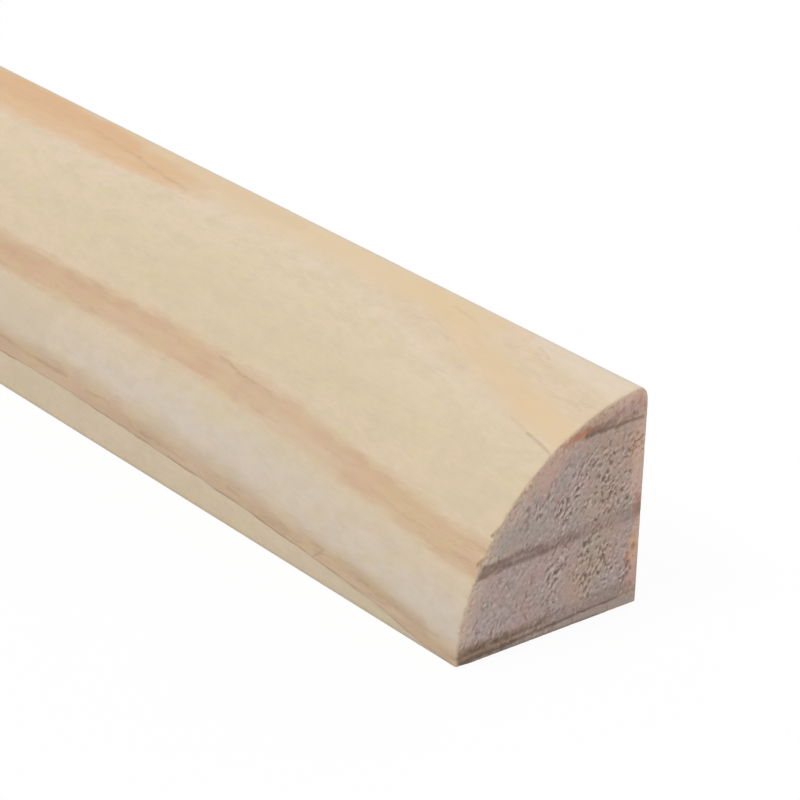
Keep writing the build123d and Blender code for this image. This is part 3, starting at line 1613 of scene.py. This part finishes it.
@dataclass(frozen=True)
class Studio:
    """A plain pale floor under soft, even light."""

    suns: tuple[Sun, ...] = (
        Sun("key_light", (-0.12, -0.50, 0.86), 0.32, 24.0, (1.0, 0.985, 0.96)),
        Sun("end_light", (0.60, -0.35, 0.72), 0.24, 4.0),
        Sun("back_light", (-0.25, 0.90, 0.36), 0.16, 30.0),
    )
    surround: float = 0.48
    surround_tint: tuple[float, float, float] = (0.97, 0.985, 1.0)
    floor_size: float = 60.0
    floor_grey: float = 0.62
    floor_white: float = 0.98
    floor_glow: float = 0.92

    def build(self) -> None:
        """Lays the floor and hangs the lights."""
        for sun in self.suns:
            sun.hang()
        self.light_surround()
        self.lay_floor()

    def seen(self, bench: Bench) -> Socket:
        """1 for what the camera, a reflection or a clear surface shows, 0 for light on the object.

        Args:
            bench: The bench of the floor or the surround.

        Returns:
            The mask.
        """
        path = bench.add("ShaderNodeLightPath").outputs
        shown = bench.sum("MAXIMUM", path["Is Camera Ray"], path["Is Glossy Ray"])
        return bench.sum("MAXIMUM", shown, path["Is Transmission Ray"])

    def light_surround(self) -> None:
        """Sets the surround: white to the eye, and a soft even light on the object."""
        world = bpy.data.worlds.new("surround")
        bench = fresh_bench(world)
        level = (*(self.surround * tint for tint in self.surround_tint), 1.0)
        colour = bench.blend(self.seen(bench), level, grey(1.0))
        bench.add("ShaderNodeOutputWorld", bench.add("ShaderNodeBackground", colour).outputs[0])
        bpy.context.scene.world = world

    def lay_floor(self) -> None:
        """Lays the floor, which keeps the stick's shadow."""
        half = self.floor_size / 2
        corners = [(-half, -half, 0.0), (half, -half, 0.0), (half, half, 0.0), (-half, half, 0.0)]
        mesh = bpy.data.meshes.new("floor")
        mesh.from_pydata(corners, [], [(0, 1, 2, 3)])
        floor = bpy.data.objects.new("floor", mesh)
        bpy.context.scene.collection.objects.link(floor)
        material = bpy.data.materials.new("pale_floor")
        bench = fresh_bench(material)
        seen = self.seen(bench)
        colour = bench.blend(seen, grey(self.floor_grey), grey(self.floor_white))
        matte = bench.add("ShaderNodeBsdfDiffuse", colour).outputs[0]
        glow = bench.add("ShaderNodeEmission").outputs[0]
        mix = bench.add("ShaderNodeMixShader", bench.times(seen, self.floor_glow), matte, glow)
        bench.add("ShaderNodeOutputMaterial", mix.outputs[0])
        mesh.materials.append(material)


@dataclass(frozen=True)
class Viewpoint:
    """The photograph's camera, placed from the heel of the near end."""

    offset: Point = (167.757 * MM, -164.661 * MM, 125.120 * MM)
    azimuth: float = 50.231
    elevation: float = 24.775
    roll: float = 1.882
    lens: float = 149.46
    sensor: float = 36.0
    near_clip: float = 1.0 * MM
    far_clip: float = 200.0

    def build(self, heel: Vector) -> None:
        """Sets up the camera.

        Args:
            heel: The heel of the near end.
        """
        turn, rise, lean = radians(self.azimuth), radians(self.elevation), radians(self.roll)
        back = Vector((sin(turn) * cos(rise), -cos(turn) * cos(rise), sin(rise)))
        level = Vector((cos(turn), sin(turn), 0.0))
        right = cos(lean) * level + sin(lean) * back.cross(level)
        data = bpy.data.cameras.new("photo_camera")
        data.sensor_fit = "HORIZONTAL"
        data.sensor_width = self.sensor
        data.lens = self.lens
        data.clip_start = self.near_clip
        data.clip_end = self.far_clip
        camera = bpy.data.objects.new("photo_camera", data)
        axes = Matrix((right, back.cross(right), back)).transposed()
        camera.matrix_world = Matrix.Translation(heel + Vector(self.offset)) @ axes.to_4x4()
        bpy.context.scene.collection.objects.link(camera)
        bpy.context.scene.camera = camera


def make_marks(rows: Iterable[tuple], spot: Callable[[float, float], Point]) -> tuple[Mark, ...]:
    """Makes marks from short rows.

    Args:
        rows: Where each mark starts and finishes, two numbers each, and then its other values
            in the order of its fields.
        spot: Turns such a pair of numbers into a place in the wood.

    Returns:
        The marks.
    """
    return tuple(Mark(spot(*start), spot(*finish), *rest) for start, finish, *rest in rows)


def face_marks(section: Section, length: float, back: float) -> tuple[Mark, ...]:
    """The marks on the rounded face near the near end.

    Args:
        section: The section.
        length: The stick's length.
        back: The Y of its back face.

    Returns:
        The marks.
    """

    def spot(along: float, around: float) -> Point:
        """A place on the face, by millimetres from the near end and round from the front tip."""
        y, z = section.face_point(around * MM)
        return length / 2 / MM - along, (back + y) / MM, z / MM

    dark, faint, brown = shade(156, 122, 92), shade(186, 154, 120), shade(178, 148, 112)
    yellow, amber, orange = shade(224, 200, 162), shade(220, 181, 140), shade(226, 197, 156)
    honey, pale, dusk = shade(218, 190, 156), shade(229, 213, 194), shade(204, 190, 162)
    cream, rosy, tuft = shade(218, 200, 172), shade(200, 164, 132), shade(132, 108, 80)
    thread, ginger = shade(188, 152, 114), shade(214, 170, 126)
    rows = (
        ((-2.0, 26.8), (11.0, 28.0), 0.8, 1.6, 0.50, pale, 1.2, 0.6),
        ((72.0, 28.0), (16.0, 27.0), 0.9, 2.0, 0.70, yellow, 1.6, 0.6),
        ((50.0, 26.4), (26.0, 25.8), 0.4, 1.8, 0.30, yellow, 1.6, 0.3),
        ((-3.0, 20.2), (6.0, 21.1), 0.5, 1.3, 0.60, orange, 0.9, 0.1),
        ((4.0, 21.0), (25.0, 27.4), 0.3, 1.9, 0.50, orange, 1.6, 0.2),
        ((3.0, 19.8), (13.0, 20.4), 0.5, 1.4, 0.30, cream, 1.2, 0.3),
        ((-3.0, 20.7), (2.6, 20.9), 0.5, 1.1, 0.50, yellow, 0.9, 0.2),
        ((118.0, 28.0), (42.0, 27.3), 1.1, 1.6, 0.45, honey, 1.0, 0.8, 0.2),
        ((118.0, 26.8), (50.0, 25.4), 2.2, 2.6, 0.85, amber, 1.4, 1.0, 0.2, 0.8),
        ((118.0, 26.8), (230.0, 28.4), 2.2, 2.6, 0.85, amber, 1.4, 1.0, 0.2, 0.8),
        ((120.0, 27.2), (66.0, 27.0), 1.0, 1.8, 0.45, ginger, 1.4, 0.6, 0.3, 0.8),
        ((18.5, 9.5), (28.0, 10.4), 0.2, 1.0, 0.40, cream, 0.8),
        ((18.0, 11.2), (36.0, 12.0), 0.4, 1.1, 0.20, cream, 1.0),
        ((54.0, 11.8), (84.0, 12.2), 0.5, 1.1, 0.30, rosy, 1.0, 0.2, 0.4),
        ((60.0, 7.4), (130.0, 8.4), 0.8, 2.6, 0.40, dusk, 1.2, 0.3),
        ((-1.0, 0.5), (5.0, 0.8), 0.20, 0.60, 0.16, brown, 0.7, 0.4, 0.3),
        ((4.0, 1.9), (15.0, 3.0), 0.20, 0.60, 0.22, brown, 0.7, 0.3, 0.3),
        ((5.5, 0.85), (17.0, 1.90), 0.0, 0.24, 0.14, dark, 0.3, 0.3, 0.6, 0.4),
        ((11.0, 2.4), (20.0, 3.2), 0.0, 0.24, 0.24, dark, 0.4, 0.4, 0.7, 0.8),
        ((17.9, 2.2), (16.9, 3.0), 0.0, 0.22, 0.30, dark, 0.3, 0.3, 0.3, 0.4),
        ((6.0, 20.0), (3.0, 19.3), 0.0, 0.24, 0.18, thread, 0.3, 0.0, 0.5, 0.3),
        ((3.5, 19.35), (-0.3, 18.7), 0.0, 0.22, 0.46, thread, 0.2, 0.0, 0.5, 0.3),
        ((36.6, 12.8), (33.6, 12.5), 0.0, 0.22, 0.24, dark, 0.4, 0.3, 0.6, 0.5),
        ((34.8, 12.6), (31.4, 12.2), 0.0, 0.22, 0.24, dark, 0.4, 0.4, 0.6, 0.5),
        ((34.0, 12.2), (29.0, 12.0), 0.0, 0.34, 0.26, faint, 0.5, 0.4, 0.6, 0.8),
        ((46.0, 3.9), (80.0, 4.5), 0.3, 1.0, 0.25, rosy, 1.0, 0.0, 0.3),
        ((54.0, 4.40), (72.0, 4.60), 0.0, 0.30, 0.34, dark, 0.4, 0.3, 0.6, 0.5),
        ((51.0, 4.35), (47.4, 4.15), 0.0, 0.26, 0.34, dark, 0.4, 0.3, 0.5, 0.9),
        ((42.5, 3.6), (36.0, 3.5), 0.0, 0.26, 0.22, dark, 0.4, 0.3, 0.6, 0.9),
        ((55.5, 24.9), (64.0, 25.8), 0.0, 0.40, 0.42, faint, 0.5, 0.3, 0.5, 0.9),
        ((61.0, 25.6), (72.0, 26.4), 0.0, 0.40, 0.36, faint, 0.5, 0.6, 0.6, 0.9),
        ((20.8, 27.0), (17.4, 26.6), 0.0, 0.28, 0.22, dark, 0.4, 0.4, 0.6, 0.6),
        ((10.6, 27.1), (8.6, 26.5), 0.0, 0.26, 0.20, dark, 0.4, 0.4, 0.6, 0.6),
        ((0.20, 11.1), (-0.1, 11.7), 0.08, 0.24, 0.80, tuft, 0.4, 0.0, 0.2),
        ((0.20, 8.6), (-0.1, 9.2), 0.08, 0.24, 0.80, tuft, 0.4, 0.0, 0.2),
        ((0.10, 9.6), (0.0, 10.6), 0.00, 0.20, 0.50, tuft, 0.6, 0.0, 0.6),
        ((0.05, 12.6), (0.0, 17.4), 0.00, 0.20, 0.26, tuft, 0.6, 0.0, 0.8),
        ((0.05, 3.0), (0.0, 7.0), 0.00, 0.20, 0.30, tuft, 0.6, 0.0, 0.9),
    )
    return make_marks(rows, spot)


def end_marks(length: float, back: float) -> tuple[Mark, ...]:
    """The stains, short cracks and flecks on the sawn near end.

    Args:
        length: The stick's length.
        back: The Y of its back face.

    Returns:
        The marks.
    """

    def spot(y: float, z: float) -> Point:
        """A place on the near end, by millimetres from the heel."""
        return length / 2 / MM, back / MM + y, z

    red, gold, tan = shade(206, 134, 104), shade(228, 186, 148), shade(202, 174, 148)
    olive, brown, pink = shade(150, 128, 96), shade(118, 92, 79), shade(230, 196, 176)
    lilac, slate, earth = shade(184, 162, 154), shade(180, 168, 156), shade(130, 108, 82)
    ash, rose, wine = shade(184, 170, 156), shade(224, 180, 168), shade(132, 90, 82)
    umber, rust, mauve = shade(140, 106, 90), shade(166, 108, 84), shade(222, 184, 170)
    peach, blush, hazel = shade(230, 198, 170), shade(198, 132, 112), shade(166, 145, 116)
    warm, plum, sand = shade(212, 164, 134), shade(214, 178, 166), shade(198, 168, 144)
    stains = (
        ((-12.0, 13.4), (-3.0, 18.3), 0.50, 1.10, 0.30, warm, 1.4, 0.0, 0.4),
        ((-7.6, 17.9), (-0.6, 18.6), 0.35, 0.80, 0.85, pink, 1.0, 0.0, 0.25),
        ((-5.4, 15.2), (-1.6, 15.4), 0.60, 1.20, 0.25, warm, 1.6, 0.0, 0.4),
        ((-0.9, 10.6), (-0.3, 15.6), 0.10, 0.90, 0.50, pink, 1.6, 0.0, 0.4),
        ((-4.6, 9.8), (-1.6, 15.2), 0.80, 2.40, 0.40, tan, 2.4, 0.0, 0.4),
        ((-6.4, 3.2), (-3.4, 6.8), 0.60, 2.00, 0.40, tan, 2.4, 0.0, 0.4),
        ((-10.2, 13.4), (-9.0, 15.2), 0.30, 0.90, 0.45, mauve, 1.4, 0.0, 0.3),
        ((-14.2, 9.6), (-10.4, 9.8), 0.40, 1.30, 0.40, slate, 1.6),
        ((-7.6, 14.4), (-5.8, 15.2), 0.40, 1.00, 0.20, slate, 1.4),
        ((-17.0, 7.20), (-9.0, 7.60), 0.06, 0.34, 0.42, brown, 0.4, 0.5, 0.4, 0.3),
        ((-16.6, 7.85), (-10.2, 8.05), 0.04, 0.30, 0.38, brown, 0.4, 0.5, 0.5, 0.3),
        ((-17.1, 7.35), (-14.8, 7.75), 0.20, 0.35, 0.30, earth, 0.6, 0.3, 0.5),
        ((-13.6, 8.55), (-12.9, 8.75), 0.05, 0.30, 0.60, tan, 0.5),
        ((-13.2, 7.4), (-13.05, 8.5), 0.02, 0.18, 0.50, lilac, 0.3),
        ((-5.6, 8.0), (-1.6, 8.3), 0.30, 0.70, 0.60, lilac, 0.8, 0.0, 0.4),
        ((-6.6, 17.1), (-4.2, 17.5), 0.30, 0.80, 0.45, sand, 0.9, 0.0, 0.2),
        ((-3.4, 17.2), (-1.0, 17.3), 0.40, 0.80, 0.55, plum, 1.2, 0.0, 0.3),
        ((-0.5, 16.8), (-0.9, 18.3), 0.10, 0.50, 0.40, warm, 1.2, 0.0, 0.4),
        ((-1.2, 12.8), (-0.3, 15.8), 0.30, 0.90, 0.35, warm, 1.6, 0.0, 0.5),
        ((-0.3, 10.2), (-0.3, 16.0), 0.30, 0.90, 0.62, pink, 1.2, 0.0, 0.3),
        ((-8.3, 16.1), (-7.2, 16.4), 0.06, 0.50, 0.45, red, 0.9, 0.2, 0.3, 0.4),
        ((-7.4, 16.4), (-6.1, 16.75), 0.10, 0.50, 0.80, red, 0.9, 0.2, 0.2, 0.4),
        ((-5.9, 16.55), (-3.4, 16.75), 0.10, 0.50, 0.62, umber, 0.7, 0.2, 0.2, 0.4),
        ((-6.2, 16.2), (-0.4, 16.4), 0.04, 0.26, 0.70, brown, 0.5, 0.2, 0.3, 0.3),
        ((-3.2, 17.2), (-1.6, 18.0), 0.05, 0.35, 0.45, umber, 1.2, 0.2, 0.7),
        ((-2.4, 16.7), (-1.0, 16.9), 0.05, 0.30, 0.50, umber, 1.0, 0.4, 0.5),
        ((-0.40, 7.6), (-0.50, 9.9), 0.06, 0.42, 0.60, blush, 0.9, 0.4, 0.3),
        ((-0.20, 5.6), (-0.15, 7.4), 0.10, 0.50, 0.60, peach, 1.0, 0.0, 0.3),
        ((-0.55, 2.0), (-0.45, 4.2), 0.35, 0.75, 0.62, rose, 1.6, 0.0, 0.4),
        ((-0.65, 4.2), (-0.50, 6.0), 0.30, 0.75, 0.68, gold, 1.8, 0.0, 0.5),
        ((-1.9, 1.10), (0.0, 1.16), 0.12, 0.32, 0.45, tan, 0.8, 0.0, 0.3),
        ((-13.0, 0.18), (-0.4, 0.40), 0.16, 0.34, 0.66, ash, 0.7, 0.0, 0.2),
        ((-18.3, 0.80), (-13.4, 0.98), 0.28, 0.75, 0.80, earth, 1.3, 0.2, 0.4),
        ((-13.0, 1.20), (-9.6, 1.40), 0.08, 0.50, 0.50, earth, 1.2, 0.4, 0.5),
        ((-17.8, 0.62), (-9.0, 0.90), 0.03, 0.18, 0.35, tan, 0.6, 0.3, 0.5, 0.2),
        ((-17.6, 0.98), (-10.0, 1.18), 0.03, 0.26, 0.60, brown, 0.6, 0.4, 0.4, 0.3),
        ((-18.4, 0.25), (-12.6, 0.48), 0.04, 0.28, 0.62, brown, 0.3),
        ((-12.8, 0.46), (-8.6, 0.70), 0.03, 0.26, 0.55, brown, 0.3),
        ((-8.8, 0.70), (-1.8, 0.95), 0.03, 0.26, 0.45, brown, 0.3, 0.8),
        ((-18.0, 0.0), (-3.0, 0.0), 0.02, 0.34, 0.55, earth, 0.4, 0.4),
        ((-14.4, 11.5), (-10.8, 15.1), 0.12, 0.50, 0.45, hazel, 1.0, 0.0, 0.6),
        ((-15.5, 10.1), (-14.9, 10.8), 0.10, 0.32, 0.80, olive, 0.9, 0.2, 0.2, 0.5),
        ((-16.9, 8.1), (-16.4, 8.7), 0.10, 0.30, 0.75, olive, 0.9, 0.2, 0.2, 0.5),
        ((-18.4, 2.9), (-18.2, 3.6), 0.08, 0.28, 0.70, olive, 0.9, 0.2, 0.2, 0.5),
    )
    cracks = (
        ((-12.23, 3.0), (-11.95, 3.6)),
        ((-16.65, 1.9), (-16.50, 3.4)),
        ((-11.70, 4.1), (-11.60, 4.9)),
        ((-13.50, 5.1), (-13.75, 5.7)),
        ((-11.25, 5.0), (-11.10, 5.6)),
        ((-16.25, 4.45), (-15.70, 4.40)),
        ((-11.60, 2.0), (-11.85, 2.6)),
        ((-9.70, 2.15), (-9.05, 2.35)),
        ((-9.65, 3.1), (-9.00, 3.5)),
        ((-11.00, 1.5), (-11.20, 1.05)),
        ((-9.80, 12.6), (-9.95, 11.8)),
        ((-11.95, 9.5), (-11.80, 11.8)),
        ((-7.85, 11.5), (-7.60, 12.0)),
        ((-12.65, 10.1), (-12.10, 10.7)),
    )
    flecks = (
        ((-1.24, 5.2), (-1.25, 5.6), rust),
        ((-1.11, 4.7), (-1.12, 4.4), rust),
        ((-0.55, 4.9), (-0.45, 5.3), rust),
        ((-1.24, 4.0), (-1.23, 3.7), wine),
        ((-0.70, 3.4), (-0.80, 3.7), wine),
        ((-0.96, 2.7), (-0.96, 3.0), wine),
        ((-1.35, 2.4), (-1.32, 2.8), wine),
        ((-0.57, 1.7), (-0.60, 2.0), olive),
        ((-0.72, 1.2), (-0.82, 1.0), olive),
    )
    crack = (0.01, 0.17, 0.48, brown, 0.30, 0.0, 0.4, 0.5)
    fleck_size, fleck_edge = (0.04, 0.24, 0.62), (0.9, 0.0, 0.5, 0.6)
    rows = (
        *stains,
        *((*places, *crack) for places in cracks),
        *((*places, *fleck_size, colour, *fleck_edge) for *places, colour in flecks),
    )
    return make_marks(rows, spot)


def main() -> None:
    """Builds the camera, the stick, its finishes and the studio."""
    logging.basicConfig(level=logging.INFO, format="%(name)s: %(message)s")
    bpy.context.scene.view_settings.view_transform = "Standard"
    low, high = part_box(NODE)
    section = Section()
    length, back = high.x - low.x, high.y
    Viewpoint().build(Vector((high.x, back, low.z)))
    moulding = Moulding(section, (NEAR_END, FAR_END), length, back)
    stick = moulding.build()
    mesh = stick.data
    log.info("%s: %d vertices, %d faces", stick.name, len(mesh.vertices), len(mesh.polygons))
    groups = WoodGroups(
        SectionGauge(section, length, back).build(),
        GrowthRings(length / MM, back / MM).build(),
        PineFibres().build(),
        Stain().build(),
    )
    planed = PlanedPine(face_marks(section, length, back)).build(groups)
    sawn = SawnPine(end_marks(length, back)).build(groups)
    moulding.dress(stick, (planed, sawn))
    log.info("%s wears %s and %s", stick.name, planed.name, sawn.name)
    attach(stick, "root")
    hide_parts(NODE)
    Studio().build()


if __name__ == "__main__":
    main()
